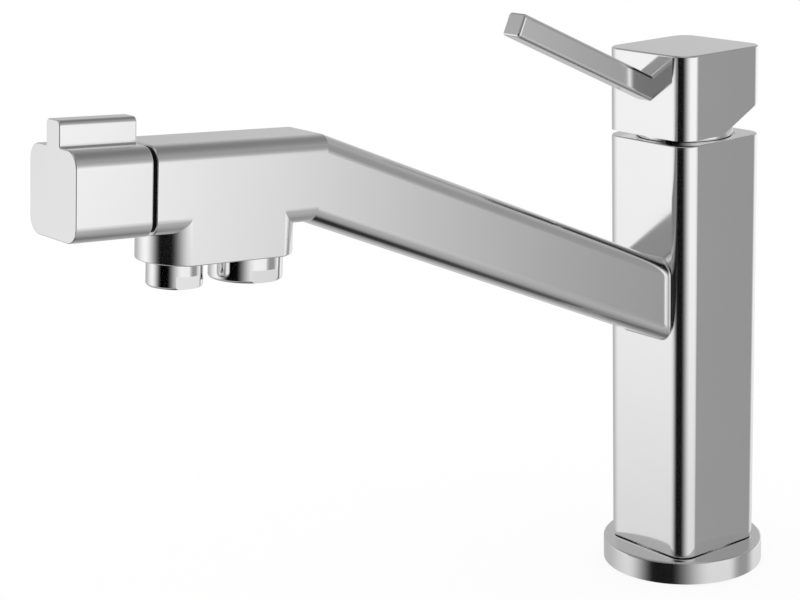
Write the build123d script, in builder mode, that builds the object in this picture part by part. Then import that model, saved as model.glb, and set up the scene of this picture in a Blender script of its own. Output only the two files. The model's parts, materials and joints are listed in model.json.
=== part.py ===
from build123d import *
import math
import os

os.makedirs("parts", exist_ok=True)

# Drinking water filter tap, in millimetres.
# The origin is the middle of the underside of the base, on the worktop.
# Z is up, the spout points to -Y, hot is on -X and cold on +X.

# Clearances
overrun = 2.0  # every cut runs this far past the piece
running_clearance = 0.05  # radial, between a shaft and its bearing
seat_clearance = 0.05  # radial, between two pieces that stay together
lapped_gap = 0.02  # between flat faces that slide over each other
ball_clearance = 0.1  # radial, between the stem ball and its socket
free_clearance = 0.3  # between curved faces that pass without touching

# Main sizes
pivot_height = 152.0  # of the pin that the lever tilts on
spout_root_below_pivot = 41.9
spout_root_height = pivot_height - spout_root_below_pivot
spout_slope = 24.35
bend_reach = 176.9
outer_slope = 5.0
outer_length = 61.7

# Outside of the column
column_top_rise = 17.0  # above the pivot
column_top = pivot_height + column_top_rise
column_side = 42.0
column_corner = 6.6
column_half = column_side / 2
shell_edge_round = 0.5
joint_round = 0.6

# Base
flange_radius = 30.75
flange_height = 8.8
flange_edge_round = 0.6
gasket_inner_radius = 24.5
gasket_outer_radius = 28.5
gasket_thickness = 2.0
foot_radius = 22.9
foot_height = 4.0
spigot_radius = 15.8
spigot_bore_radius = 13.0
spigot_floor = 12.0
spigot_top = 36.0
spigot_chamfer = 1.0
hose_hole_front = 4.2  # the ledge for the stud fills the bore in front of this
stud_hole_radius = 3.4  # tapped M8
stud_hole_front = 9.6
swivel_gap = 0.3
shell_bottom = flange_height + swivel_gap

# Base screws, M3 countersunk
screw_count = 3
screw_circle_radius = 19.35
screw_radius = 1.5
screw_head_radius = 3.0
screw_sink = 0.2
screw_length = 7.4
screw_hex_width = 2.0
screw_hex_depth = 1.0
screw_first_angle = 30.0

# Swivel bearing of the column on the spigot
slide_ring_seat = 8.1
slide_ring_outer_radius = 20.4
bush_outer_radius = 18.0
bush_inner_radius = spigot_radius + running_clearance
bush_top = 28.0
shoulder_top = 31.0
shoulder_radius = spigot_radius + free_clearance
washer_thickness = 1.0
washer_outer_radius = 17.5
ring_thickness = 1.2
ring_groove_radius = 14.6
ring_outer_radius = 17.2
ring_opening = 8.0
ring_bottom = shoulder_top + washer_thickness + lapped_gap
stop_pin_radius = 1.25
stop_pin_height = 20.0
stop_pin_reach = 17.6
stop_pin_play = 0.15
swivel_half_angle = 60.0
stop_margin_angle = 5.5  # half the pin's width and its play, seen from the axis

# Bores of the column
hollow_radius = 17.6
insert_bore_radius = 18.1
nut_shelf_rise = 5.0  # above the pivot
nut_shelf = pivot_height + nut_shelf_rise
nut_radius = 18.8

# Spout, a square bar on a centre line with one bend
spout_side = 28.0
spout_half = spout_side / 2
spout_corner = 5.5
spout_start_depth = 16.0
cavity_side = 22.0
cavity_half = cavity_side / 2
cavity_corner = 3.0
tenon_wall = 1.5
tenon_depth = 2.0  # into the front wall of the column
tenon_side = cavity_side + 2 * tenon_wall
tenon_corner = cavity_corner + tenon_wall

# Aerator housings
mixed_aerator_radius = 12.0
filter_aerator_radius = 9.0
aerator_gap = 5.7
filter_outlet_inset = 15.2  # from the end of the spout
filter_outlet_reach = outer_length - filter_outlet_inset
aerator_spacing = mixed_aerator_radius + aerator_gap + filter_aerator_radius
mixed_outlet_reach = filter_outlet_reach - aerator_spacing

# Outlet block under the outer part of the spout
block_arc_radius = 15.0
block_rear_lead = 0.1
block_front_inset = 2.9
block_rear_arc = mixed_outlet_reach + block_rear_lead
block_front_arc = filter_outlet_reach - block_front_inset
block_top = spout_half - spout_corner  # where the lower round of the spout starts
block_drop = 9.7
block_bottom = spout_half + block_drop
block_edge_round = 0.4

# Valve body, the insert that all water passes through
valve_body_drop = 22.1  # its underside below the root of the spout
valve_body_bottom = spout_root_height - valve_body_drop
valve_body_radius = 17.5
cartridge_floor_drop = 17.0  # below the pivot
cartridge_floor = pivot_height - cartridge_floor_drop
cartridge_base_height = 4.0
valve_body_top = cartridge_floor - cartridge_base_height
insert_collar_height = 3.0
insert_shelf = valve_body_top - insert_collar_height
hose_thread_radius = 4.5  # tapped M10 x 1
hose_thread_length = 12.0
hose_end = valve_body_bottom + hose_thread_length
inlet_side = 8.2
inlet_back = 2.2
filter_inlet_back = 8.5
inlet_port_side = 6.2
inlet_port_front = 5.7
inlet_port_radius = 2.0
mixed_port_radius = 2.6
cross_drill_depth = 7.0
cross_drill_height = valve_body_top - cross_drill_depth
mixed_turn_rise = 3.9  # above the root of the spout
mixed_turn_height = spout_root_height + mixed_turn_rise
filter_drill_rise = 4.5  # above the end of the hose
filter_drill_height = hose_end + filter_drill_rise
filter_drill_radius = 1.8

# Water tubes in the spout
mixed_tube_side = 4.9
mixed_tube_radius = 5.0
filter_tube_side = 5.6
filter_tube_radius = 4.0
tube_wall = 1.0
tube_bend_radius = 30.0
tube_socket_depth = 10.0
tube_seal_width = 1.6
tube_seal_depth = 0.6
tube_seal_inset = 3.0

# Cartridge
cartridge_radius = 17.5
cartridge_cavity_radius = 14.6
cartridge_lip_radius = 11.0
gasket_rim = 1.5
port_gasket_thickness = 1.0
gasket_web = 2.4
fixed_disc_radius = 14.5
fixed_disc_thickness = 4.0
moving_disc_radius = 12.3
moving_disc_thickness = 3.0
mixing_chamber_radius = 5.8
mixing_chamber_depth = 2.0
stem_ball_drop = 7.2
stem_ball_radius = 2.4
stem_neck_radius = 1.8
stem_side = 8.0
stem_half = stem_side / 2
stem_rise = 42.0
stem_top = pivot_height + stem_rise
stem_edge_round = 0.5
pivot_pin_radius = 1.5
pivot_pin_half_length = 13.0
tilt_angle = 25.0
ball_height = pivot_height - stem_ball_drop
driver_travel = stem_ball_drop * math.sin(math.radians(tilt_angle))
moving_disc_bottom = cartridge_floor + fixed_disc_thickness + lapped_gap
moving_disc_top = moving_disc_bottom + moving_disc_thickness
driver_half_width = 6.0
driver_front = 5.5
driver_back = 11.0
driver_top_drop = 4.5
driver_top = pivot_height - driver_top_drop
driver_peg_side = 4.0
driver_peg_back = 9.3
driver_peg_radius = 1.2
driver_peg_depth = 1.0
socket_floor_gap = 0.3
socket_mouth_drop = 6.2
socket_mouth_height = pivot_height - socket_mouth_drop
carrier_radius = 14.2
carrier_bottom = moving_disc_top + lapped_gap
carrier_shoulder_rise = 2.0
carrier_shoulder = pivot_height + carrier_shoulder_rise
carrier_neck_height = 4.0
carrier_top = carrier_shoulder + carrier_neck_height
carrier_neck_radius = cartridge_lip_radius - running_clearance
carrier_slot_front = 7.0
carrier_slot_back = 7.9

# Nut and neck above the cartridge
nut_height = 10.0
nut_top = nut_shelf + nut_height
nut_inner_radius = 13.5
nut_web = 2.0
nut_hex_floor = nut_shelf + nut_web
neck_height = 3.6
neck_top = nut_top + neck_height
neck_radius = 18.1
neck_inner_radius = 15.0
neck_foot_height = 1.4
neck_foot_top = nut_top + neck_foot_height
neck_foot_radius = 18.75
neck_edge_round = 0.3

# Lever cap
cap_gap = 2.0
cap_bottom = column_top + cap_gap
cap_height = 31.0
cap_top = cap_bottom + cap_height
cap_edge_round = 0.7
cap_relief_front = 1.4
cap_relief_angle = 27.7
cap_dome_radius = 26.4
set_screw_drop = 14.0
set_screw_height = cap_top - set_screw_drop
set_screw_radius = 2.5
set_screw_length = 8.0
set_screw_hex_width = 2.5
set_screw_hex_depth = 2.5
plug_radius = 3.1
plug_length = 4.0
plug_inset = 0.2

# Lever
lever_width = 8.7
lever_depth = 8.6
lever_corner = 1.3
lever_end_round = 0.9
lever_drop = 12.94
lever_height = cap_top - lever_drop
lever_angle = 25.5
lever_length = 69.3
lever_tail_radius = 3.0
lever_tail_length = 9.0

# Outlet manifold inside the outer part of the spout
manifold_rear = 5.6
valve_collar_length = 4.1
manifold_front = outer_length - valve_collar_length
manifold_play = 0.2
manifold_corner = 3.3
manifold_socket_depth = 6.0
mixed_duct_radius = 3.2
mixed_drop_radius = 3.6
filter_duct_side = 6.6
filter_seat_inset = 12.4
filter_seat = filter_outlet_reach - filter_seat_inset
filter_duct_inset = 3.5
filter_duct_turn = filter_seat - filter_duct_inset
filter_drop_radius = 3.0
neck_socket_depth = 3.0

# Filter valve on the axis of the outer part of the spout
valve_shank_radius = 6.0
valve_seal_thickness = 1.2
valve_seal_inner_radius = 3.0
valve_bore_radius = 4.6
valve_bore_beyond_outlet = 3.0
valve_bore_end = filter_outlet_reach + valve_bore_beyond_outlet
valve_collar_radius = 10.4
filter_disc_radius = 4.5
filter_disc_thickness = 2.5
filter_disc_port_radius = 1.3
filter_disc_port_circle = 2.4
spindle_head_radius = 4.3
spindle_head_thickness = 1.2
spindle_neck_radius = 2.0
spindle_radius = 3.0
spindle_depth_in_knob = 12.9

# Knob on the end of the spout
knob_ring_inset = 1.2
knob_ring_thickness = 1.2
knob_ring_hole_radius = 3.3
knob_gap = 1.4
knob_length = 26.5
knob_face_round = 0.4
knob_back_round = 0.5
tab_height = 8.1
tab_thickness = 7.9
tab_edge_round = 1.7
tab_foot_round = 0.6
grub_radius = 2.0
grub_inset = 0.5
grub_hex_width = 2.0
grub_hex_depth = 2.0
grub_from_face = 6.5

# Aerators
mixed_aerator_drop = 8.4
mixed_neck_radius = 9.0
mixed_flow_radius = 6.5
mixed_insert_radius = 9.6
mixed_flat = 11.0
mixed_hole_circle = 5.8
filter_aerator_drop = 8.5
filter_neck_radius = 7.0
outlet_necks = ((mixed_outlet_reach, mixed_neck_radius), (filter_outlet_reach, filter_neck_radius))
filter_flow_radius = 5.0
filter_insert_radius = 6.6
filter_flat = 7.9
filter_hole_circle = 3.8
flat_height = 4.2
aerator_edge_round = 1.0
aerator_seal_thickness = 1.0
insert_recess = 0.8
insert_height = 5.0
insert_hole_radius = 0.9
insert_hole_count = 8

# Directions and counts
standing = (Align.CENTER, Align.CENTER, Align.MIN)
quarter_turn = 90.0
full_turn = 360.0
hex_sides = 6


def slope_direction(angle):
    """The way out and up along the spout at this angle above the worktop."""
    return Vector(0, -math.cos(math.radians(angle)), math.sin(math.radians(angle)))


root_point = Vector(0, -column_half, spout_root_height)
inner_run = (bend_reach - column_half) / math.cos(math.radians(spout_slope))
bend_point = root_point + slope_direction(spout_slope) * inner_run
end_point = bend_point + slope_direction(outer_slope) * outer_length
start_point = root_point - slope_direction(spout_slope) * spout_start_depth


def outer_plane(distance):
    """Square to the outer part of the spout, this far beyond the bend; its Y is up."""
    origin = bend_point + slope_direction(outer_slope) * distance
    return Plane(origin=origin, x_dir=(1, 0, 0), z_dir=slope_direction(outer_slope))


def outer_point(side, rise, distance):
    """A point given by its side, rise and distance along the outer part of the spout."""
    return outer_plane(distance).from_local_coords(Vector(side, rise, 0))


def under_plane(distance, drop):
    """Faces down out of the spout, this far beyond the bend and below its centre line."""
    down = slope_direction(outer_slope + quarter_turn) * -1
    return Plane(origin=outer_point(0, -drop, distance), x_dir=(1, 0, 0), z_dir=down)


def drill(start, end, radius):
    """Cuts a round hole from start to end out of the part being built."""
    run = Vector(end) - Vector(start)
    with Locations(Plane(origin=Vector(start), z_dir=run)):
        Cylinder(radius, run.length, align=standing, mode=Mode.SUBTRACT)


def rod(start, end, radius):
    """Adds a round rod from start to end to the part being built."""
    run = Vector(end) - Vector(start)
    with Locations(Plane(origin=Vector(start), z_dir=run)):
        Cylinder(radius, run.length, align=standing)


def face_at(builder, point):
    """The face of the part being built that this point lies on."""
    return builder.faces().sort_by_distance(point)[0]


def washer(bottom, outer_radius, inner_radius, thickness):
    """Adds a flat ring on the column's axis to the part being built."""
    with BuildSketch(Plane.XY.offset(bottom)) as outline:
        Circle(outer_radius)
        Circle(inner_radius, mode=Mode.SUBTRACT)
    extrude(outline.sketch, amount=thickness)


def port_gasket_outline(height):
    """The three-port gasket seen from above, without its holes."""
    reach = math.hypot(inlet_port_side, inlet_port_front)
    with BuildSketch(Plane.XY.offset(height)) as outline:
        Circle(mixed_port_radius + gasket_rim)
        for side in (-1, 1):
            angle = math.degrees(math.atan2(-inlet_port_front, side * inlet_port_side))
            with Locations((side * inlet_port_side, -inlet_port_front)):
                Circle(inlet_port_radius + gasket_rim)
            with Locations((side * inlet_port_side / 2, -inlet_port_front / 2)):
                SlotCenterToCenter(reach, gasket_web, rotation=angle)
    return outline.sketch


def cut_ports(bottom, top):
    """Cuts the hot, cold and mixed ports between two heights."""
    drill((0, 0, bottom), (0, 0, top), mixed_port_radius)
    for side in (-1, 1):
        x = side * inlet_port_side
        drill((x, -inlet_port_front, bottom), (x, -inlet_port_front, top), inlet_port_radius)


screw_places = []
for number in range(screw_count):
    turn = math.radians(screw_first_angle + number * full_turn / screw_count)
    screw_places.append((screw_circle_radius * math.cos(turn), screw_circle_radius * math.sin(turn)))

screw_cone = screw_head_radius - screw_radius

# Base flange: the round foot that carries the tap
with BuildPart() as base_flange:
    Cylinder(flange_radius, flange_height, align=standing)
    fillet(base_flange.edges().group_by(Axis.Z)[-1], flange_edge_round)
    Cylinder(foot_radius + seat_clearance, foot_height, align=standing, mode=Mode.SUBTRACT)
    drill((0, 0, 0), (0, 0, flange_height), spigot_radius + seat_clearance)
    drill((0, 0, slide_ring_seat), (0, 0, flange_height), slide_ring_outer_radius + seat_clearance)
    with BuildSketch(Plane.XY):
        Circle(gasket_outer_radius)
        Circle(gasket_inner_radius, mode=Mode.SUBTRACT)
    extrude(amount=gasket_thickness, mode=Mode.SUBTRACT)
    for x, y in screw_places:
        drill((x, y, 0), (x, y, screw_sink + screw_length), screw_radius)
base_flange.part.label = "base_flange"
export_step(base_flange.part, "parts/base_flange.step")

# Base gasket: lies in the groove under the flange, flush with its underside
with BuildPart() as base_gasket:
    washer(0, gasket_outer_radius, gasket_inner_radius, gasket_thickness)
base_gasket.part.label = "base_gasket"
export_step(base_gasket.part, "parts/base_gasket.step")

# Base spigot: the stem the column turns on, with the hose hole and the stud hole
with BuildPart() as base_spigot:
    Cylinder(foot_radius, foot_height, align=standing)
    Cylinder(spigot_radius, spigot_top, align=standing)
    chamfer(base_spigot.edges().group_by(Axis.Z)[-1], spigot_chamfer)
    drill((0, 0, spigot_floor), (0, 0, spigot_top + overrun), spigot_bore_radius)
    with BuildSketch(Plane.XY.offset(-overrun)):
        Circle(spigot_bore_radius)
        with Locations((0, -hose_hole_front)):
            Rectangle(
                2 * spigot_bore_radius,
                spigot_bore_radius,
                align=(Align.CENTER, Align.MAX),
                mode=Mode.SUBTRACT,
            )
    extrude(amount=spigot_floor + 2 * overrun, mode=Mode.SUBTRACT)
    drill((0, -stud_hole_front, -overrun), (0, -stud_hole_front, spigot_floor), stud_hole_radius)
    with BuildSketch(Plane.XY.offset(ring_bottom)):
        Circle(spigot_radius + overrun)
        Circle(ring_groove_radius, mode=Mode.SUBTRACT)
    extrude(amount=ring_thickness, mode=Mode.SUBTRACT)
    drill((0, 0, stop_pin_height), (0, spigot_radius + overrun, stop_pin_height), stop_pin_radius)
    for x, y in screw_places:
        drill((x, y, -overrun), (x, y, screw_sink), screw_head_radius)
        with Locations((x, y, screw_sink)):
            Cone(screw_head_radius, screw_radius, screw_cone, align=standing, mode=Mode.SUBTRACT)
        drill((x, y, 0), (x, y, foot_height + overrun), screw_radius + seat_clearance)
base_spigot.part.label = "base_spigot"
export_step(base_spigot.part, "parts/base_spigot.step")

# Base screws: hold the spigot in the flange from below
for number, (x, y) in enumerate(screw_places, 1):
    with BuildPart() as base_screw:
        with Locations((x, y, screw_sink)):
            Cone(screw_head_radius, screw_radius, screw_cone, align=standing)
            Cylinder(screw_radius, screw_length, align=standing)
        with BuildSketch(Plane.XY.offset(screw_sink)):
            with Locations((x, y)):
                RegularPolygon(screw_hex_width / 2, hex_sides, major_radius=False)
        extrude(amount=screw_hex_depth, mode=Mode.SUBTRACT)
    base_screw.part.label = "base_screw_" + str(number)
    export_step(base_screw.part, "parts/base_screw_" + str(number) + ".step")

# Stop pin: sticks out of the spigot into the slot of the slide bush
with BuildPart() as stop_pin:
    rod((0, spigot_bore_radius, stop_pin_height), (0, stop_pin_reach, stop_pin_height), stop_pin_radius)
stop_pin.part.label = "stop_pin"
export_step(stop_pin.part, "parts/stop_pin.step")

# Retaining ring: sprung into the groove of the spigot above the shoulder of the column
with BuildPart() as retaining_ring:
    washer(ring_bottom, ring_outer_radius, ring_groove_radius, ring_thickness)
    with BuildSketch(Plane.XY.offset(ring_bottom)):
        with Locations((0, -ring_outer_radius)):
            Rectangle(ring_opening, ring_outer_radius)
    extrude(amount=ring_thickness, mode=Mode.SUBTRACT)
retaining_ring.part.label = "retaining_ring"
export_step(retaining_ring.part, "parts/retaining_ring.step")

# Slide ring: the plastic ring the column slides on, let into the top of the flange
with BuildPart() as slide_ring:
    slide_ring_height = shell_bottom - lapped_gap - slide_ring_seat
    washer(slide_ring_seat, slide_ring_outer_radius, spigot_radius + seat_clearance, slide_ring_height)
slide_ring.part.label = "slide_ring"
export_step(slide_ring.part, "parts/slide_ring.step")

# Column shell: the square column, with the hole that the spout is brazed into
tube_run = slope_direction(spout_slope)
root_plane = Plane(origin=start_point, x_dir=(1, 0, 0), z_dir=tube_run)
with BuildPart() as column_shell:
    with BuildSketch(Plane.XY.offset(shell_bottom)):
        RectangleRounded(column_side, column_side, column_corner)
    extrude(amount=column_top - shell_bottom)
    fillet(column_shell.edges().group_by(Axis.Z)[-1], shell_edge_round)
    fillet(column_shell.edges().group_by(Axis.Z)[0], shell_edge_round)
    drill((0, 0, 0), (0, 0, bush_top), bush_outer_radius)
    drill((0, 0, 0), (0, 0, column_top), shoulder_radius)
    drill((0, 0, shoulder_top), (0, 0, column_top), hollow_radius)
    drill((0, 0, insert_shelf), (0, 0, column_top), insert_bore_radius)
    drill((0, 0, nut_shelf), (0, 0, column_top + overrun), nut_radius)
    hole_side = tenon_side + 2 * seat_clearance
    with BuildSketch(root_plane):
        RectangleRounded(hole_side, hole_side, tenon_corner + seat_clearance)
    extrude(amount=spout_start_depth + tenon_side, mode=Mode.SUBTRACT)
column_shell.part.label = "column_shell"
export_step(column_shell.part, "parts/column_shell.step")

# Spout shell: the square spout with the outlet block, its tenon sits in the column
block_flat = math.sqrt(block_arc_radius ** 2 - spout_half ** 2)
with BuildPart() as spout_shell:
    with BuildLine():
        Polyline(start_point, bend_point, end_point)
    with BuildSketch(root_plane):
        RectangleRounded(spout_side, spout_side, spout_corner)
    sweep(transition=Transition.RIGHT)
    with BuildSketch(under_plane(0, block_top)):
        with BuildLine():
            rear_end = block_rear_arc - block_arc_radius
            front_end = block_front_arc + block_arc_radius
            rear_flat = block_rear_arc - block_flat
            front_flat = block_front_arc + block_flat
            ThreePointArc((-spout_half, rear_flat), (0, rear_end), (spout_half, rear_flat))
            Line((spout_half, rear_flat), (spout_half, front_flat))
            ThreePointArc((spout_half, front_flat), (0, front_end), (-spout_half, front_flat))
            Line((-spout_half, front_flat), (-spout_half, rear_flat))
        make_face()
    extrude(amount=block_bottom - block_top)
    fillet(face_at(spout_shell, end_point).edges(), shell_edge_round)
    block_face = face_at(spout_shell, outer_point(0, -block_bottom, mixed_outlet_reach))
    fillet(block_face.edges(), block_edge_round)
    # A plate in the column's front face, so that the round where they meet can be made
    with BuildSketch(Plane.XZ.offset(column_half)):
        with Locations((0, spout_root_height)):
            Rectangle(column_side, 2 * column_side)
    extrude(amount=-overrun)
    root_edges = spout_shell.edges().filter_by_position(
        Axis.Y, -column_half - lapped_gap, -column_half + lapped_gap, inclusive=(True, True)
    )
    root_low = spout_root_height - 2 * spout_half
    root_high = spout_root_height + 2 * spout_half
    fillet(root_edges.filter_by_position(Axis.Z, root_low, root_high), joint_round)
    with BuildSketch(Plane.XZ.offset(column_half)):
        with Locations((0, spout_root_height)):
            Rectangle(2 * column_side, 3 * column_side)
    extrude(amount=-column_side, mode=Mode.SUBTRACT)
    with BuildSketch(root_plane):
        RectangleRounded(tenon_side, tenon_side, tenon_corner)
    extrude(amount=spout_start_depth)
    with BuildSketch(Plane.XZ.offset(column_half - tenon_depth)):
        with Locations((0, spout_root_height)):
            Rectangle(2 * column_side, 3 * column_side)
    extrude(amount=-column_side, mode=Mode.SUBTRACT)
    beyond_end = end_point + slope_direction(outer_slope) * overrun
    with BuildLine():
        Polyline(start_point, bend_point, beyond_end)
    with BuildSketch(root_plane):
        RectangleRounded(cavity_side, cavity_side, cavity_corner)
    sweep(transition=Transition.RIGHT, mode=Mode.SUBTRACT)
    for reach, radius in outlet_necks:
        drill(outer_point(0, 0, reach), outer_point(0, -block_bottom - overrun, reach), radius)
spout_shell.part.label = "spout_shell"
export_step(spout_shell.part, "parts/spout_shell.step")

# Slide bush: pressed into the column, with the slot that limits the swivel
with BuildPart() as slide_bush:
    washer(shell_bottom, bush_outer_radius, bush_inner_radius, bush_top - shell_bottom)
    slot_angle = 2 * (swivel_half_angle + stop_margin_angle)
    slot_height = 2 * (stop_pin_radius + stop_pin_play)
    slot_start = quarter_turn - slot_angle / 2
    with Locations(Location((0, 0, stop_pin_height - slot_height / 2), (0, 0, slot_start))):
        Cylinder(
            bush_outer_radius + overrun,
            slot_height,
            arc_size=slot_angle,
            align=(Align.NONE, Align.NONE, Align.MIN),
            mode=Mode.SUBTRACT,
        )
slide_bush.part.label = "slide_bush"
export_step(slide_bush.part, "parts/slide_bush.step")

# Thrust washer: lies on the shoulder of the column under the retaining ring
with BuildPart() as thrust_washer:
    washer(shoulder_top, washer_outer_radius, shoulder_radius, washer_thickness)
thrust_washer.part.label = "thrust_washer"
export_step(thrust_washer.part, "parts/thrust_washer.step")

# Valve body: takes the three hoses from below and feeds the cartridge and the two tubes
mixed_socket = root_point - tube_run * tube_socket_depth + Vector(-mixed_tube_side, 0, 0)
filter_socket = root_point - tube_run * tube_socket_depth + Vector(filter_tube_side, 0, 0)
with BuildPart() as valve_body:
    with Locations((0, 0, valve_body_bottom)):
        Cylinder(valve_body_radius, insert_shelf - valve_body_bottom, align=standing)
    with Locations((0, 0, insert_shelf)):
        Cylinder(insert_bore_radius - seat_clearance, valve_body_top - insert_shelf, align=standing)
    for x, y in ((-inlet_side, inlet_back), (inlet_side, inlet_back), (0, filter_inlet_back)):
        drill((x, y, valve_body_bottom - overrun), (x, y, hose_end), hose_thread_radius)
    for side in (-1, 1):
        low = (side * inlet_side, inlet_back, hose_end)
        turn = (side * inlet_side, inlet_back, cross_drill_height)
        port = (side * inlet_port_side, -inlet_port_front, cross_drill_height)
        drill(low, turn, inlet_port_radius)
        drill(turn, port, inlet_port_radius)
    cut_ports(cross_drill_height, valve_body_top + overrun)
    drill((0, 0, mixed_turn_height), (0, 0, cross_drill_height), mixed_port_radius)
    drill((0, 0, mixed_turn_height), mixed_socket, mixed_port_radius)
    drill((0, filter_inlet_back, hose_end), (0, filter_inlet_back, filter_drill_height), filter_drill_radius)
    drill((0, filter_inlet_back, filter_drill_height), filter_socket, filter_drill_radius)
    for socket, radius in ((mixed_socket, mixed_tube_radius), (filter_socket, filter_tube_radius)):
        drill(socket, socket + tube_run * tube_socket_depth, radius + seat_clearance)
        seal_start = socket + tube_run * tube_seal_inset
        drill(seal_start, seal_start + tube_run * tube_seal_width, radius + tube_seal_depth)
valve_body.part.label = "valve_body"
export_step(valve_body.part, "parts/valve_body.step")


def water_tube(side, radius):
    """A bent tube from its socket in the valve body to its socket in the outlet manifold."""
    bend_height = bend_point.Z
    end = outer_point(0, 0, manifold_rear + manifold_socket_depth)
    start = root_point - tube_run * tube_socket_depth
    with BuildPart() as tube:
        for tube_radius, mode in ((radius, Mode.ADD), (radius - tube_wall, Mode.SUBTRACT)):
            with BuildLine(Plane.YZ.offset(side)) as path:
                route = FilletPolyline(
                    (start.Y, start.Z), (bend_point.Y, bend_height), (end.Y, end.Z), radius=tube_bend_radius
                )
            with BuildSketch(Plane(origin=route @ 0, z_dir=route % 0)) as section:
                Circle(tube_radius)
            sweep(section.sketch, path=route, mode=mode)
    return tube.part


# Mixed water tube
mixed_tube = water_tube(-mixed_tube_side, mixed_tube_radius)
mixed_tube.label = "mixed_tube"
export_step(mixed_tube, "parts/mixed_tube.step")

# Filtered water tube
filter_tube = water_tube(filter_tube_side, filter_tube_radius)
filter_tube.label = "filter_tube"
export_step(filter_tube, "parts/filter_tube.step")

# Tube seals: one ring round each end of each tube
manifold_run = slope_direction(outer_slope)
seal_from_end = manifold_socket_depth - tube_seal_inset
mixed_far_seal = outer_point(-mixed_tube_side, 0, manifold_rear + seal_from_end)
filter_far_seal = outer_point(filter_tube_side, 0, manifold_rear + seal_from_end)
seal_list = (
    ("mixed_tube_seal_near", mixed_socket + tube_run * tube_seal_inset, tube_run, mixed_tube_radius),
    ("filter_tube_seal_near", filter_socket + tube_run * tube_seal_inset, tube_run, filter_tube_radius),
    ("mixed_tube_seal_far", mixed_far_seal, manifold_run, mixed_tube_radius),
    ("filter_tube_seal_far", filter_far_seal, manifold_run, filter_tube_radius),
)
for name, place, run, radius in seal_list:
    with BuildPart() as tube_seal:
        with BuildSketch(Plane(origin=place, x_dir=(1, 0, 0), z_dir=run)):
            Circle(radius + tube_seal_depth)
            Circle(radius, mode=Mode.SUBTRACT)
        extrude(amount=tube_seal_width)
    tube_seal.part.label = name
    export_step(tube_seal.part, "parts/" + name + ".step")

# Cartridge base: carries the ports between the valve body and the fixed disc
with BuildPart() as cartridge_base:
    with Locations((0, 0, valve_body_top)):
        Cylinder(cartridge_radius, cartridge_floor - valve_body_top, align=standing)
    cut_ports(valve_body_top - overrun, cartridge_floor + overrun)
    upper_seat = cartridge_floor - port_gasket_thickness
    extrude(port_gasket_outline(valve_body_top), amount=port_gasket_thickness, mode=Mode.SUBTRACT)
    extrude(port_gasket_outline(upper_seat), amount=port_gasket_thickness, mode=Mode.SUBTRACT)
cartridge_base.part.label = "cartridge_base"
export_step(cartridge_base.part, "parts/cartridge_base.step")

# Port gasket under the cartridge base and disc gasket on top of it
for name, height in (("port_gasket", valve_body_top), ("disc_gasket", upper_seat)):
    with BuildPart() as port_gasket:
        extrude(port_gasket_outline(height), amount=port_gasket_thickness)
        cut_ports(height - overrun, height + port_gasket_thickness + overrun)
    port_gasket.part.label = name
    export_step(port_gasket.part, "parts/" + name + ".step")

# Cartridge housing: the cup turned over the discs, its lip holds the carrier
with BuildPart() as cartridge_housing:
    with Locations((0, 0, cartridge_floor)):
        Cylinder(cartridge_radius, nut_shelf - cartridge_floor, align=standing)
    cavity_top = carrier_shoulder + lapped_gap
    drill((0, 0, cartridge_floor - overrun), (0, 0, cavity_top), cartridge_cavity_radius)
    drill((0, 0, cartridge_floor), (0, 0, nut_shelf + overrun), cartridge_lip_radius)
cartridge_housing.part.label = "cartridge_housing"
export_step(cartridge_housing.part, "parts/cartridge_housing.step")

# Fixed ceramic disc
with BuildPart() as ceramic_disc_fixed:
    with Locations((0, 0, cartridge_floor)):
        Cylinder(fixed_disc_radius, fixed_disc_thickness, align=standing)
    cut_ports(cartridge_floor - overrun, cartridge_floor + fixed_disc_thickness + overrun)
ceramic_disc_fixed.part.label = "ceramic_disc_fixed"
export_step(ceramic_disc_fixed.part, "parts/ceramic_disc_fixed.step")

# Moving ceramic disc: its blind chamber joins the inlets to the mixed port
moving_disc_back = driver_travel / 2
peg_places = ((-driver_peg_side, driver_peg_back), (driver_peg_side, driver_peg_back))
with BuildPart() as ceramic_disc_moving:
    with Locations((0, moving_disc_back, moving_disc_bottom)):
        Cylinder(moving_disc_radius, moving_disc_thickness, align=standing)
    chamber_top = moving_disc_bottom + mixing_chamber_depth
    drill((0, 0, moving_disc_bottom - overrun), (0, 0, chamber_top), mixing_chamber_radius)
    for x, y in peg_places:
        drill((x, y, moving_disc_top - driver_peg_depth), (x, y, moving_disc_top), driver_peg_radius)
ceramic_disc_moving.part.label = "ceramic_disc_moving"
export_step(ceramic_disc_moving.part, "parts/ceramic_disc_moving.step")

# Disc driver: slides the moving disc, its socket holds the ball of the stem
with BuildPart() as disc_driver:
    driver_middle = (driver_back - driver_front) / 2
    with BuildSketch(Plane.XY.offset(moving_disc_top)):
        with Locations((0, driver_middle)):
            Rectangle(2 * driver_half_width, driver_back + driver_front)
    extrude(amount=driver_top - moving_disc_top)
    socket_radius = stem_ball_radius + ball_clearance
    socket_floor = ball_height - stem_ball_radius - socket_floor_gap
    drill((0, 0, socket_floor), (0, 0, driver_top + overrun), socket_radius)
    mouth_height = driver_top - socket_mouth_height
    with Locations((0, 0, socket_mouth_height)):
        Cone(socket_radius, socket_radius + mouth_height, mouth_height, align=standing, mode=Mode.SUBTRACT)
    for x, y in peg_places:
        rod((x, y, moving_disc_top - driver_peg_depth), (x, y, moving_disc_top + driver_peg_depth),
            driver_peg_radius)
disc_driver.part.label = "disc_driver"
export_step(disc_driver.part, "parts/disc_driver.step")

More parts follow.
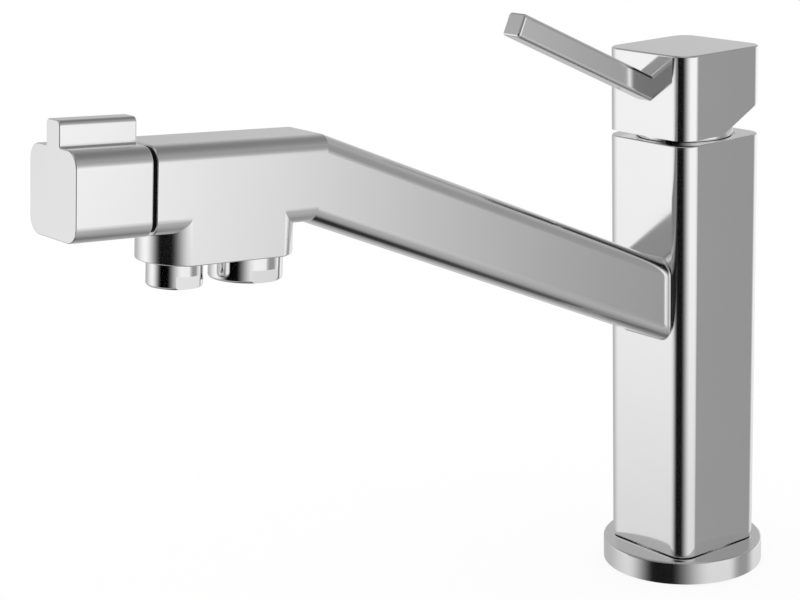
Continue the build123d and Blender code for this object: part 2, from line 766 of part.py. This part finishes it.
# Cartridge carrier: turns with the lever for the temperature
with BuildPart() as cartridge_carrier:
    with Locations((0, 0, carrier_bottom)):
        Cylinder(carrier_radius, carrier_shoulder - carrier_bottom, align=standing)
    rod((0, 0, carrier_shoulder), (0, 0, carrier_top), carrier_neck_radius)
    slot_middle = (carrier_slot_back - carrier_slot_front) / 2
    with BuildSketch(Plane.XY.offset(carrier_bottom)):
        with Locations((0, slot_middle)):
            Rectangle(2 * (stem_half + running_clearance), carrier_slot_back + carrier_slot_front)
    extrude(amount=carrier_top - carrier_bottom, mode=Mode.SUBTRACT)
    with BuildSketch(Plane.XY.offset(carrier_bottom)):
        Rectangle(2 * (driver_half_width + running_clearance), 2 * (carrier_radius + overrun))
    extrude(amount=driver_top + free_clearance - carrier_bottom, mode=Mode.SUBTRACT)
    pin_reach = carrier_radius + overrun
    drill((-pin_reach, 0, pivot_height), (pin_reach, 0, pivot_height), pivot_pin_radius)
cartridge_carrier.part.label = "cartridge_carrier"
export_step(cartridge_carrier.part, "parts/cartridge_carrier.step")

# Pivot pin: the lever tilts on it
with BuildPart() as pivot_pin:
    pin_start = (-pivot_pin_half_length, 0, pivot_height)
    pin_end = (pivot_pin_half_length, 0, pivot_height)
    rod(pin_start, pin_end, pivot_pin_radius)
pivot_pin.part.label = "pivot_pin"
export_step(pivot_pin.part, "parts/pivot_pin.step")

# Cartridge nut: clamps the cartridge down on the valve body
with BuildPart() as cartridge_nut:
    with Locations((0, 0, nut_shelf)):
        Cylinder(nut_radius, nut_top - nut_shelf, align=standing)
    drill((0, 0, nut_shelf - overrun), (0, 0, nut_top), nut_inner_radius)
    with BuildSketch(Plane.XY.offset(nut_hex_floor)):
        RegularPolygon(nut_inner_radius, hex_sides, major_radius=False)
    extrude(amount=nut_top - nut_hex_floor + overrun, mode=Mode.SUBTRACT)
cartridge_nut.part.label = "cartridge_nut"
export_step(cartridge_nut.part, "parts/cartridge_nut.step")

# Neck ring: the round neck seen between the column and the lever cap
with BuildPart() as neck_ring:
    with Locations((0, 0, nut_top)):
        Cylinder(neck_radius, neck_top - nut_top, align=standing)
    fillet(neck_ring.edges().group_by(Axis.Z)[-1], neck_edge_round)
    with Locations((0, 0, nut_top)):
        Cylinder(neck_foot_radius, neck_foot_top - nut_top, align=standing)
    drill((0, 0, nut_top - overrun), (0, 0, neck_top + overrun), neck_inner_radius)
neck_ring.part.label = "neck_ring"
export_step(neck_ring.part, "parts/neck_ring.step")

# Cartridge stem: square above the pivot, a ball below it
with BuildPart() as cartridge_stem:
    with BuildSketch(Plane.XY.offset(pivot_height)):
        Rectangle(stem_side, stem_side)
    extrude(amount=stem_top - pivot_height)
    chamfer(cartridge_stem.edges().group_by(Axis.Z)[-1], stem_edge_round)
    rod((-stem_half, 0, pivot_height), (stem_half, 0, pivot_height), stem_half)
    rod((0, 0, ball_height), (0, 0, pivot_height), stem_neck_radius)
    with Locations((0, 0, ball_height)):
        Sphere(stem_ball_radius)
    pin_hole = pivot_pin_radius + running_clearance
    drill((-column_half, 0, pivot_height), (column_half, 0, pivot_height), pin_hole)
cartridge_stem.part.label = "cartridge_stem"
export_step(cartridge_stem.part, "parts/cartridge_stem.step")

# Lever cap: the square head over the cartridge, its hollow is a ball round the pivot
lever_root = Vector(0, -column_half, lever_height)
lever_run = slope_direction(lever_angle)
with BuildPart() as handle_cap:
    with BuildSketch(Plane.XY.offset(cap_bottom)):
        RectangleRounded(column_side, column_side, column_corner)
    extrude(amount=cap_top - cap_bottom)
    relief_depth = (cap_relief_front + column_half + overrun) * math.tan(math.radians(cap_relief_angle))
    with BuildSketch(Plane.YZ.offset(-column_half - overrun)):
        with BuildLine():
            Polyline(
                (-cap_relief_front, cap_bottom),
                (column_half + overrun, cap_bottom + relief_depth),
                (column_half + overrun, cap_bottom),
                close=True,
            )
        make_face()
    extrude(amount=column_side + 2 * overrun, mode=Mode.SUBTRACT)
    fillet(handle_cap.edges().group_by(Axis.Z)[-1], cap_edge_round)
    with Locations((0, 0, pivot_height)):
        Sphere(cap_dome_radius, mode=Mode.SUBTRACT)
    with BuildSketch(Plane.XY.offset(pivot_height)):
        Rectangle(stem_side, stem_side)
    extrude(amount=stem_top - pivot_height, mode=Mode.SUBTRACT)
    drill(lever_root + lever_run * overrun, lever_root - lever_run * lever_tail_length, lever_tail_radius)
    drill((0, stem_half, set_screw_height), (0, column_half, set_screw_height), set_screw_radius)
    plug_floor = column_half - plug_inset - plug_length
    drill((0, plug_floor, set_screw_height), (0, column_half + overrun, set_screw_height), plug_radius)
handle_cap.part.label = "handle_cap"
export_step(handle_cap.part, "parts/handle_cap.step")

# Lever: a square bar with a round tail pressed into the cap
with BuildPart() as handle_lever:
    with BuildSketch(Plane(origin=lever_root - lever_run * lever_depth, x_dir=(1, 0, 0), z_dir=lever_run)):
        RectangleRounded(lever_width, lever_depth, lever_corner)
    extrude(amount=lever_length + lever_depth)
    lever_end = lever_root + lever_run * lever_length
    fillet(face_at(handle_lever, lever_end).edges(), lever_end_round)
    with BuildSketch(Plane.XZ.offset(column_half)):
        with Locations((0, lever_height)):
            Rectangle(2 * lever_width, 2 * lever_width)
    extrude(amount=-lever_width - overrun, mode=Mode.SUBTRACT)
    rod(lever_root + lever_run * overrun, lever_root - lever_run * lever_tail_length, lever_tail_radius)
handle_lever.part.label = "handle_lever"
export_step(handle_lever.part, "parts/handle_lever.step")

# Set screw: clamps the cap on the stem from behind
with BuildPart() as handle_set_screw:
    screw_end = stem_half + set_screw_length
    rod((0, stem_half, set_screw_height), (0, screw_end, set_screw_height), set_screw_radius)
    with BuildSketch(Plane.XZ.offset(-screw_end)):
        with Locations((0, set_screw_height)):
            RegularPolygon(set_screw_hex_width / 2, hex_sides, major_radius=False)
    extrude(amount=set_screw_hex_depth, mode=Mode.SUBTRACT)
handle_set_screw.part.label = "handle_set_screw"
export_step(handle_set_screw.part, "parts/handle_set_screw.step")

# Screw plug: closes the screw hole at the back of the cap
with BuildPart() as screw_plug:
    plug_end = column_half - plug_inset
    rod((0, plug_floor, set_screw_height), (0, plug_end, set_screw_height), plug_radius)
screw_plug.part.label = "screw_plug"
export_step(screw_plug.part, "parts/screw_plug.step")

# Outlet manifold: joins the two tubes to the two outlets inside the spout
manifold_width = cavity_side - 2 * manifold_play
with BuildPart() as outlet_manifold:
    with BuildSketch(outer_plane(manifold_rear)):
        with Locations((0, -manifold_play / 2)):
            RectangleRounded(manifold_width, cavity_side - manifold_play, manifold_corner)
    extrude(amount=manifold_front - manifold_rear)
    socket_end = manifold_rear + manifold_socket_depth
    seal_end = manifold_rear + seal_from_end + tube_seal_width
    for side, radius in ((-mixed_tube_side, mixed_tube_radius), (filter_tube_side, filter_tube_radius)):
        drill(outer_point(side, 0, 0), outer_point(side, 0, socket_end), radius + seat_clearance)
        seal_place = outer_point(side, 0, manifold_rear + seal_from_end)
        drill(seal_place, outer_point(side, 0, seal_end), radius + tube_seal_depth)
    mixed_turn = outer_point(0, 0, mixed_outlet_reach)
    drill(outer_point(-mixed_tube_side, 0, socket_end), mixed_turn, mixed_duct_radius)
    drill(mixed_turn, outer_point(0, -cavity_half, mixed_outlet_reach), mixed_drop_radius)
    filter_turn = outer_point(filter_duct_side, 0, filter_duct_turn)
    drill(outer_point(filter_duct_side, 0, socket_end), filter_turn, filter_drill_radius)
    drill(filter_turn, outer_point(0, 0, filter_duct_turn), filter_drill_radius)
    drill(outer_point(0, 0, filter_duct_turn), outer_point(0, 0, filter_seat), filter_drill_radius)
    chamber_radius = valve_shank_radius + seat_clearance
    drill(outer_point(0, 0, filter_seat), outer_point(0, 0, manifold_front + overrun), chamber_radius)
    filter_drop = outer_point(0, -cavity_half, filter_outlet_reach)
    drill(outer_point(0, 0, filter_outlet_reach), filter_drop, filter_drop_radius)
    neck_top_drop = cavity_half - neck_socket_depth
    for reach, radius in outlet_necks:
        socket_mouth = outer_point(0, -cavity_half - overrun, reach)
        drill(outer_point(0, -neck_top_drop, reach), socket_mouth, radius)
outlet_manifold.part.label = "outlet_manifold"
export_step(outlet_manifold.part, "parts/outlet_manifold.step")

# Filter valve body: screwed into the manifold, its collar fills the mouth of the spout
with BuildPart() as filter_valve_body:
    valve_start = filter_seat + valve_seal_thickness
    rod(outer_point(0, 0, valve_start), outer_point(0, 0, manifold_front), valve_shank_radius)
    rod(outer_point(0, 0, manifold_front), outer_point(0, 0, outer_length), valve_collar_radius)
    drill(outer_point(0, 0, valve_start - overrun), outer_point(0, 0, valve_bore_end), valve_bore_radius)
    bearing = spindle_radius + running_clearance
    drill(outer_point(0, 0, valve_bore_end), outer_point(0, 0, outer_length + overrun), bearing)
    drill(outer_point(0, 0, filter_outlet_reach), filter_drop, filter_drop_radius)
filter_valve_body.part.label = "filter_valve_body"
export_step(filter_valve_body.part, "parts/filter_valve_body.step")

# Filter valve seal: between the valve body and the bottom of its chamber
with BuildPart() as filter_valve_seal:
    with BuildSketch(outer_plane(filter_seat)):
        Circle(valve_shank_radius)
        Circle(valve_seal_inner_radius, mode=Mode.SUBTRACT)
    extrude(amount=valve_seal_thickness)
filter_valve_seal.part.label = "filter_valve_seal"
export_step(filter_valve_seal.part, "parts/filter_valve_seal.step")

# Filter discs: the fixed one has its ports side by side, the moving one above each other
moving_filter_start = valve_start + filter_disc_thickness + lapped_gap
across_ports = ((-filter_disc_port_circle, 0), (filter_disc_port_circle, 0))
upright_ports = ((0, -filter_disc_port_circle), (0, filter_disc_port_circle))
disc_list = (
    ("filter_disc_fixed", valve_start, across_ports),
    ("filter_disc_moving", moving_filter_start, upright_ports),
)
for name, start, ports in disc_list:
    with BuildPart() as filter_disc:
        with BuildSketch(outer_plane(start)):
            Circle(filter_disc_radius)
            with Locations(*ports):
                Circle(filter_disc_port_radius, mode=Mode.SUBTRACT)
        extrude(amount=filter_disc_thickness)
    filter_disc.part.label = name
    export_step(filter_disc.part, "parts/" + name + ".step")

# Filter valve spindle: turns the moving disc with the knob
knob_start = outer_length + knob_gap
with BuildPart() as filter_valve_spindle:
    head_start = moving_filter_start + filter_disc_thickness
    head_end = head_start + spindle_head_thickness
    shaft_start = valve_bore_end + lapped_gap
    shaft_end = knob_start + spindle_depth_in_knob
    rod(outer_point(0, 0, head_start), outer_point(0, 0, head_end), spindle_head_radius)
    rod(outer_point(0, 0, head_end), outer_point(0, 0, shaft_start), spindle_neck_radius)
    rod(outer_point(0, 0, shaft_start), outer_point(0, 0, shaft_end), spindle_radius)
filter_valve_spindle.part.label = "filter_valve_spindle"
export_step(filter_valve_spindle.part, "parts/filter_valve_spindle.step")

# Knob ring: the dark ring between the end of the spout and the knob
with BuildPart() as knob_ring:
    ring_side = spout_side - 2 * knob_ring_inset
    with BuildSketch(outer_plane(outer_length)):
        RectangleRounded(ring_side, ring_side, spout_corner - knob_ring_inset)
        Circle(knob_ring_hole_radius, mode=Mode.SUBTRACT)
    extrude(amount=knob_ring_thickness)
knob_ring.part.label = "knob_ring"
export_step(knob_ring.part, "parts/knob_ring.step")

# Knob: opens the filtered water, with a grip tab on top
knob_end = knob_start + knob_length
with BuildPart() as filter_knob:
    with BuildSketch(outer_plane(knob_start)):
        RectangleRounded(spout_side, spout_side, spout_corner)
        with Locations((0, (spout_half + tab_height) / 2)):
            Rectangle(tab_thickness, spout_half + tab_height)
    extrude(amount=knob_length)
    tab_reach = tab_thickness / 2 + lapped_gap
    long_edges = filter_knob.edges().filter_by(Axis(outer_point(0, 0, 0), manifold_run))
    tab_edges = long_edges.filter_by_position(Axis.X, -tab_reach, tab_reach).sort_by(Axis.Z)
    fillet(tab_edges[-2:], tab_edge_round)
    fillet(tab_edges[:2], tab_foot_round)
    fillet(face_at(filter_knob, outer_point(0, 0, knob_end)).edges(), knob_face_round)
    fillet(face_at(filter_knob, outer_point(0, 0, knob_start)).edges(), knob_back_round)
    drill(outer_point(0, 0, knob_start - overrun), outer_point(0, 0, shaft_end), spindle_radius)
    grub_place = knob_start + grub_from_face
    grub_mouth = outer_point(0, -spout_half - overrun, grub_place)
    drill(outer_point(0, 0, grub_place), grub_mouth, grub_radius)
filter_knob.part.label = "filter_knob"
export_step(filter_knob.part, "parts/filter_knob.step")

# Grub screw: holds the knob on the spindle from below
with BuildPart() as knob_grub_screw:
    grub_end = spout_half - grub_inset
    rod(outer_point(0, -spindle_radius, grub_place), outer_point(0, -grub_end, grub_place), grub_radius)
    with BuildSketch(under_plane(grub_place, grub_end - grub_hex_depth)):
        RegularPolygon(grub_hex_width / 2, hex_sides, major_radius=False)
    extrude(amount=grub_hex_depth + overrun, mode=Mode.SUBTRACT)
knob_grub_screw.part.label = "knob_grub_screw"
export_step(knob_grub_screw.part, "parts/knob_grub_screw.step")

# Aerators: a housing screwed up through the block, an insert and a seal for each outlet
aerator_list = (
    ("mixed", mixed_outlet_reach, mixed_aerator_radius, mixed_aerator_drop, mixed_neck_radius,
     mixed_flow_radius, mixed_insert_radius, mixed_flat, mixed_hole_circle),
    ("filter", filter_outlet_reach, filter_aerator_radius, filter_aerator_drop, filter_neck_radius,
     filter_flow_radius, filter_insert_radius, filter_flat, filter_hole_circle),
)
for water, reach, radius, drop, neck, flow, insert, flat_side, hole_circle in aerator_list:
    rim = block_bottom + drop
    insert_top = rim - insert_recess - insert_height
    seal_bottom = neck_top_drop + aerator_seal_thickness
    with BuildPart() as aerator_housing:
        with BuildSketch(under_plane(reach, block_bottom)):
            Circle(radius)
        extrude(amount=drop)
        low_edge = aerator_housing.edges().sort_by(Axis.Z)[0]
        fillet(low_edge, aerator_edge_round)
        for side in (-1, 1):
            with BuildSketch(under_plane(reach, rim - flat_height)):
                with Locations((side * (flat_side + radius), 0)):
                    Rectangle(2 * radius, 2 * radius + 2 * overrun)
            extrude(amount=flat_height + overrun, mode=Mode.SUBTRACT)
        rod(outer_point(0, -seal_bottom, reach), outer_point(0, -block_bottom, reach), neck)
        drill(outer_point(0, 0, reach), outer_point(0, -rim, reach), flow)
        drill(outer_point(0, -insert_top, reach), outer_point(0, -rim - overrun, reach), insert)
    aerator_housing.part.label = water + "_aerator_housing"
    export_step(aerator_housing.part, "parts/" + water + "_aerator_housing.step")
    with BuildPart() as aerator_insert:
        with BuildSketch(under_plane(reach, insert_top)):
            Circle(insert)
            Circle(insert_hole_radius, mode=Mode.SUBTRACT)
            with PolarLocations(hole_circle, insert_hole_count):
                Circle(insert_hole_radius, mode=Mode.SUBTRACT)
            with PolarLocations(hole_circle / 2, insert_hole_count // 2):
                Circle(insert_hole_radius / 2, mode=Mode.SUBTRACT)
        extrude(amount=insert_height)
    aerator_insert.part.label = water + "_aerator_insert"
    export_step(aerator_insert.part, "parts/" + water + "_aerator_insert.step")
    with BuildPart() as aerator_seal:
        with BuildSketch(under_plane(reach, neck_top_drop)):
            Circle(neck)
            Circle(flow, mode=Mode.SUBTRACT)
        extrude(amount=aerator_seal_thickness)
    aerator_seal.part.label = water + "_aerator_seal"
    export_step(aerator_seal.part, "parts/" + water + "_aerator_seal.step")
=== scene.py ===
import json
import math

import bpy
from mathutils import Matrix, Vector

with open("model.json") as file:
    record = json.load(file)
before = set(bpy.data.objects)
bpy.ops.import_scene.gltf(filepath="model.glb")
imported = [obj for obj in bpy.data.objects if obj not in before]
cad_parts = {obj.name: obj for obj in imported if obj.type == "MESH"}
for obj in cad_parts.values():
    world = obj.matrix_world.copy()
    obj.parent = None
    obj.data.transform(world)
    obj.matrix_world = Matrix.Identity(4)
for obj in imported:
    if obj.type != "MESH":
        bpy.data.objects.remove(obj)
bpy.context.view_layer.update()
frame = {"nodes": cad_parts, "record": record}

parts = frame["nodes"]


# Node trees


class Value:
    """A socket that can be used in sums; each operator adds the Math node it needs."""

    def __init__(self, tree, socket):
        self.tree = tree
        self.socket = socket

    def math(self, operation, *others):
        return self.tree.add("ShaderNodeMath", {"operation": operation}, [self, *others])[0]

    def __add__(self, other):
        return self.math("ADD", other)

    def __sub__(self, other):
        return self.math("SUBTRACT", other)

    def __rsub__(self, other):
        return self.tree.add("ShaderNodeMath", {"operation": "SUBTRACT"}, [other, self])[0]

    def __mul__(self, other):
        return self.math("MULTIPLY", other)

    __radd__ = __add__
    __rmul__ = __mul__


class Sockets:
    """The outputs of a node, by place or by name."""

    def __init__(self, tree, node):
        self.tree = tree
        self.node = node

    def __getitem__(self, key):
        return Value(self.tree, self.node.outputs[key])


def set_stops(ramp, stops):
    """Grey stops of a colour ramp, from pairs of a place and a brightness."""
    while len(ramp.elements) < len(stops):
        ramp.elements.new(0.5)
    for element, (place, level) in zip(ramp.elements, stops):
        element.position = place
        element.color = (level, level, level, 1)


class Tree:
    """The nodes of one material or of the world, added one at a time."""

    def __init__(self, owner):
        owner.use_nodes = True
        self.tree = owner.node_tree
        self.tree.nodes.clear()

    def add(self, kind, settings=None, inputs=None):
        """Sets the node's settings first, then the values or links of its sockets."""
        node = self.tree.nodes.new(kind)
        for name, value in (settings or {}).items():
            if name == "stops":
                set_stops(node.color_ramp, value)
            else:
                setattr(node, name, value)
        pairs = inputs.items() if isinstance(inputs, dict) else enumerate(inputs or [])
        for key, value in pairs:
            if isinstance(value, Value):
                self.tree.links.new(value.socket, node.inputs[key])
            else:
                node.inputs[key].default_value = value
        return Sockets(self, node)

    def blend(self, share, first, second):
        """The first colour where share is 0, the second where it is 1."""
        factor, first_colour, second_colour, mixed_colour = 0, 6, 7, 2  # places of the sockets
        inputs = {factor: share, first_colour: (*first, 1), second_colour: (*second, 1)}
        return self.add("ShaderNodeMix", {"data_type": "RGBA"}, inputs)[mixed_colour]

    def noise(self, place, scale, detail):
        inputs = {"Vector": place, "Scale": scale, "Detail": detail}
        return self.add("ShaderNodeTexNoise", None, inputs)["Fac"]

    def soft_edge(self, value, start, end):
        """0 before start, 1 after end, and smooth between them."""
        settings = {"interpolation_type": "SMOOTHSTEP", "clamp": True}
        inputs = {"Value": value, "From Min": start, "From Max": end}
        return self.add("ShaderNodeMapRange", settings, inputs)[0]


# Studio: what the metal mirrors is a pale room with dark screens stood round the tap.
# Heights are in degrees above the horizon. Bearings are in degrees round the tap, with 0
# where the spout points and 90 on the right of someone who faces it.

wall_levels = [
    (-30, 0.60), (-24, 0.67), (-16, 0.88), (-8, 0.97),
    (2, 0.90), (10, 0.58), (24, 0.40), (30, 0.38),
]
low_levels = [(-84, 0.0), (-73, 0.03), (-62, 0.27), (-50, 0.37), (-38, 0.42)]
high_levels = [(30, 0.36), (42, 0.28), (56, 0.18), (68, 0.34), (80, 0.62)]
low_edge = (-27, -38)  # heights between which the walls give way to the low part
high_edge = (20, 44)  # and to the high part
screens = [  # bearings between which a screen begins and ends, and its brightness
    ((-165, -108), (-92, -40), 0.48),  # on the left
    ((-42, 3), (29, 88), 0.0),  # in front and round to the right
    ((117, 137), (150, 174), 0.30),  # behind on the right
]


def sine_of(height):
    return math.sin(math.radians(height))


def brightness(tree, up, levels):
    """The brightness at each height, from pairs of a height and its level."""
    stops = [((sine_of(height) + 1) / 2, level) for height, level in levels]
    return tree.add("ShaderNodeValToRGB", {"stops": stops}, [up * 0.5 + 0.5])["Color"]


def build_room():
    world = bpy.data.worlds.new("studio")
    bpy.context.scene.world = world
    tree = Tree(world)
    direction = tree.add("ShaderNodeTexCoord")["Generated"]
    axes = tree.add("ShaderNodeSeparateXYZ", None, [direction])
    up = axes["Z"]
    bearing = axes["X"].math("ARCTAN2", axes["Y"] * -1) * (180 / math.pi)

    walls = brightness(tree, up, wall_levels)
    for begins, ends, level in screens:
        inside = tree.soft_edge(bearing, *begins) * (1 - tree.soft_edge(bearing, *ends))
        walls = walls * (1 - inside) + inside * level
    low = tree.soft_edge(up, *map(sine_of, low_edge))
    high = tree.soft_edge(up, *map(sine_of, high_edge))
    mirrored = (
        walls * (1 - high) * (1 - low)
        + brightness(tree, up, high_levels) * high
        + brightness(tree, up, low_levels) * low
    )

    path = tree.add("ShaderNodeLightPath")
    is_mirrored = path["Is Glossy Ray"].math("MAXIMUM", path["Is Transmission Ray"])
    white = tree.add("ShaderNodeBackground", None, {"Color": (1, 1, 1, 1), "Strength": 1.0})[0]
    room = tree.add("ShaderNodeBackground", None, {"Color": mirrored, "Strength": 1.0})[0]
    shown = tree.add("ShaderNodeMixShader", None, [is_mirrored, white, room])[0]
    tree.add("ShaderNodeOutputWorld", None, {"Surface": shown})


build_room()


# Materials. Noise scales are in waves a metre. A pair of numbers called marks gives the
# noise at which a mark begins and the noise at which it is complete.

metal_grain_scale = 5000.0
metal_patch_scale = 45.0
wiping_scale = (140.0, 1100.0, 1100.0)  # long in one direction
worn_marks = (0.52, 0.74)
hairline_marks = (0.66, 0.78)
tarnish_marks = (0.35, 0.70)
metal_relief_strength = 0.05
metal_relief_depth = 0.00002  # metres

mould_grain_scale = 2400.0
mould_patch_scale = 160.0
scuff_marks = (0.50, 0.70)
mould_grain = 0.12  # how far the grain and the scuffs change the roughness
scuff_roughness = 0.08
mould_relief_strength = 0.2


def finish_from(name, build_inputs):
    """A material of one Principled shader, whose inputs are built in the material's tree."""
    finish = bpy.data.materials.new(name)
    tree = Tree(finish)
    place = tree.add("ShaderNodeTexCoord")["Object"]
    shade = tree.add("ShaderNodeBsdfPrincipled", None, build_inputs(tree, place))
    tree.add("ShaderNodeOutputMaterial", None, {"Surface": shade[0]})
    return finish


def relief(tree, strength, depth, height):
    inputs = {"Strength": strength, "Distance": depth, "Height": height}
    return tree.add("ShaderNodeBump", None, inputs)["Normal"]


def darkened(colour, share):
    return tuple(part * (1 - share) for part in colour)


def metal(name, colour, roughness, grain, wear, tarnish):
    """Metal with a fine grain, an uneven polish, wiping marks and slightly duller places."""

    def inputs(tree, place):
        fine = tree.noise(place, metal_grain_scale, 2.0)
        patches = tree.noise(place, metal_patch_scale, 4.0)
        stretched = tree.add("ShaderNodeMapping", None, {"Vector": place, "Scale": wiping_scale})
        wiped = tree.noise(stretched[0], 1.0, 2.0)
        hairlines = tree.soft_edge(wiped, *hairline_marks) * tree.soft_edge(patches, *worn_marks)
        rough = (fine - 0.5) * grain + (patches - 0.5) * wear + hairlines * wear + roughness
        clean = tree.soft_edge(patches, *tarnish_marks)
        return {
            "Base Color": tree.blend(clean, darkened(colour, tarnish), colour),
            "Metallic": 1.0,
            "Roughness": rough,
            "Normal": relief(
                tree, metal_relief_strength, metal_relief_depth, fine + wiped * 0.5
            ),
        }

    return finish_from(name, inputs)


def moulded(name, colour, roughness, coat=0.0, mottle=0.05, texture=0.00004, shine=0.5):
    """Moulded plastic, rubber or ceramic, with the texture of its mould and scuffed patches."""

    def inputs(tree, place):
        fine = tree.noise(place, mould_grain_scale, 3.0)
        patches = tree.noise(place, mould_patch_scale, 3.0)
        scuffed = tree.soft_edge(patches, *scuff_marks)
        return {
            "Base Color": tree.blend(scuffed, darkened(colour, mottle), colour),
            "Roughness": (fine - 0.5) * mould_grain + scuffed * scuff_roughness + roughness,
            "Normal": relief(tree, mould_relief_strength, texture, fine),
            "Coat Weight": coat,
            "Specular IOR Level": shine,
        }

    return finish_from(name, inputs)


metals = {
    "satin_metal": ((0.95, 0.95, 0.95), 0.115, {"grain": 0.03, "wear": 0.012, "tarnish": 0.01}),
    "polished_metal": ((0.93, 0.93, 0.93), 0.07, {"grain": 0.01, "wear": 0.02, "tarnish": 0.01}),
    "brass": ((0.78, 0.60, 0.30), 0.28, {"grain": 0.08, "wear": 0.10, "tarnish": 0.22}),
    "screw_steel": ((0.62, 0.62, 0.63), 0.25, {"grain": 0.06, "wear": 0.08, "tarnish": 0.12}),
    "tube_steel": ((0.70, 0.70, 0.71), 0.30, {"grain": 0.06, "wear": 0.08, "tarnish": 0.08}),
}
mouldings = {
    "clear_tube": ((0.80, 0.83, 0.84), 0.30, {"coat": 0.3}),
    "white_plastic": ((0.82, 0.82, 0.79), 0.42, {}),
    "grey_plastic": ((0.45, 0.46, 0.47), 0.40, {}),
    "black_plastic": ((0.004, 0.004, 0.004), 0.50, {"shine": 0.1}),
    "black_rubber": ((0.02, 0.02, 0.02), 0.60, {"mottle": 0.2}),
    "ceramic": ((0.86, 0.84, 0.80), 0.15, {"coat": 0.5, "texture": 0.00001}),
}
finishes = {}
for make, looks in ((metal, metals), (moulded, mouldings)):
    for finish_name, (colour, roughness, extras) in looks.items():
        finishes[finish_name] = make(finish_name, colour, roughness, **extras)

slots = {row["node"]: row["material_slot"] for row in frame["record"]["subparts"]}
for name, piece in parts.items():
    piece.data.materials.clear()
    piece.data.materials.append(finishes[slots[name]])


# Floor: white to the camera, with a faint shadow where the tap stands; it lights nothing

floor_reach = 6.0
floor_drop = 0.0005  # under the flange, so that the two faces don't meet
shadow_share = 0.12
floor_mesh = bpy.data.meshes.new("floor")
floor_corners = [
    (floor_reach * side, floor_reach * depth, -floor_drop)
    for side, depth in ((-1, -1), (1, -1), (1, 1), (-1, 1))
]
floor_mesh.from_pydata(floor_corners, [], [(0, 1, 2, 3)])
floor = bpy.data.objects.new("floor", floor_mesh)
bpy.context.scene.collection.objects.link(floor)
floor_finish = bpy.data.materials.new("floor")
floor_tree = Tree(floor_finish)
white_glow = floor_tree.add("ShaderNodeEmission", None, {"Color": (1, 1, 1, 1), "Strength": 1.0})
white_paint = floor_tree.add("ShaderNodeBsdfDiffuse", None, {"Color": (1, 1, 1, 1)})
open_air = floor_tree.add("ShaderNodeBsdfTransparent")
shadowed = floor_tree.add(
    "ShaderNodeMixShader", None, [shadow_share, white_glow[0], white_paint[0]]
)
seen_by_camera = floor_tree.add("ShaderNodeLightPath")["Is Camera Ray"]
floor_look = floor_tree.add(
    "ShaderNodeMixShader", None, [seen_by_camera, open_air[0], shadowed[0]]
)
floor_tree.add("ShaderNodeOutputMaterial", None, {"Surface": floor_look[0]})
floor_mesh.materials.append(floor_finish)


# Camera

camera_place = Vector((0.54950, -0.56106, 0.32002))
azimuth, elevation, roll = math.radians(52.333), math.radians(15.268), math.radians(-1.792)
back = Vector((
    math.sin(azimuth) * math.cos(elevation),
    -math.cos(azimuth) * math.cos(elevation),
    math.sin(elevation),
))
right = Vector((math.cos(azimuth), math.sin(azimuth), 0))
upright = back.cross(right)
rolled_right = right * math.cos(roll) + upright * math.sin(roll)
rolled_upright = upright * math.cos(roll) - right * math.sin(roll)
camera_data = bpy.data.cameras.new("camera")
camera_data.sensor_width = 36.0
camera_data.lens = 94.95
camera_data.clip_start, camera_data.clip_end = 0.01, 50.0
camera = bpy.data.objects.new("camera", camera_data)
bpy.context.scene.collection.objects.link(camera)
turned = Matrix((rolled_right, rolled_upright, back)).transposed().to_4x4()
camera.matrix_world = Matrix.Translation(camera_place) @ turned
bpy.context.scene.camera = camera

bpy.context.scene.view_settings.view_transform = "Standard"
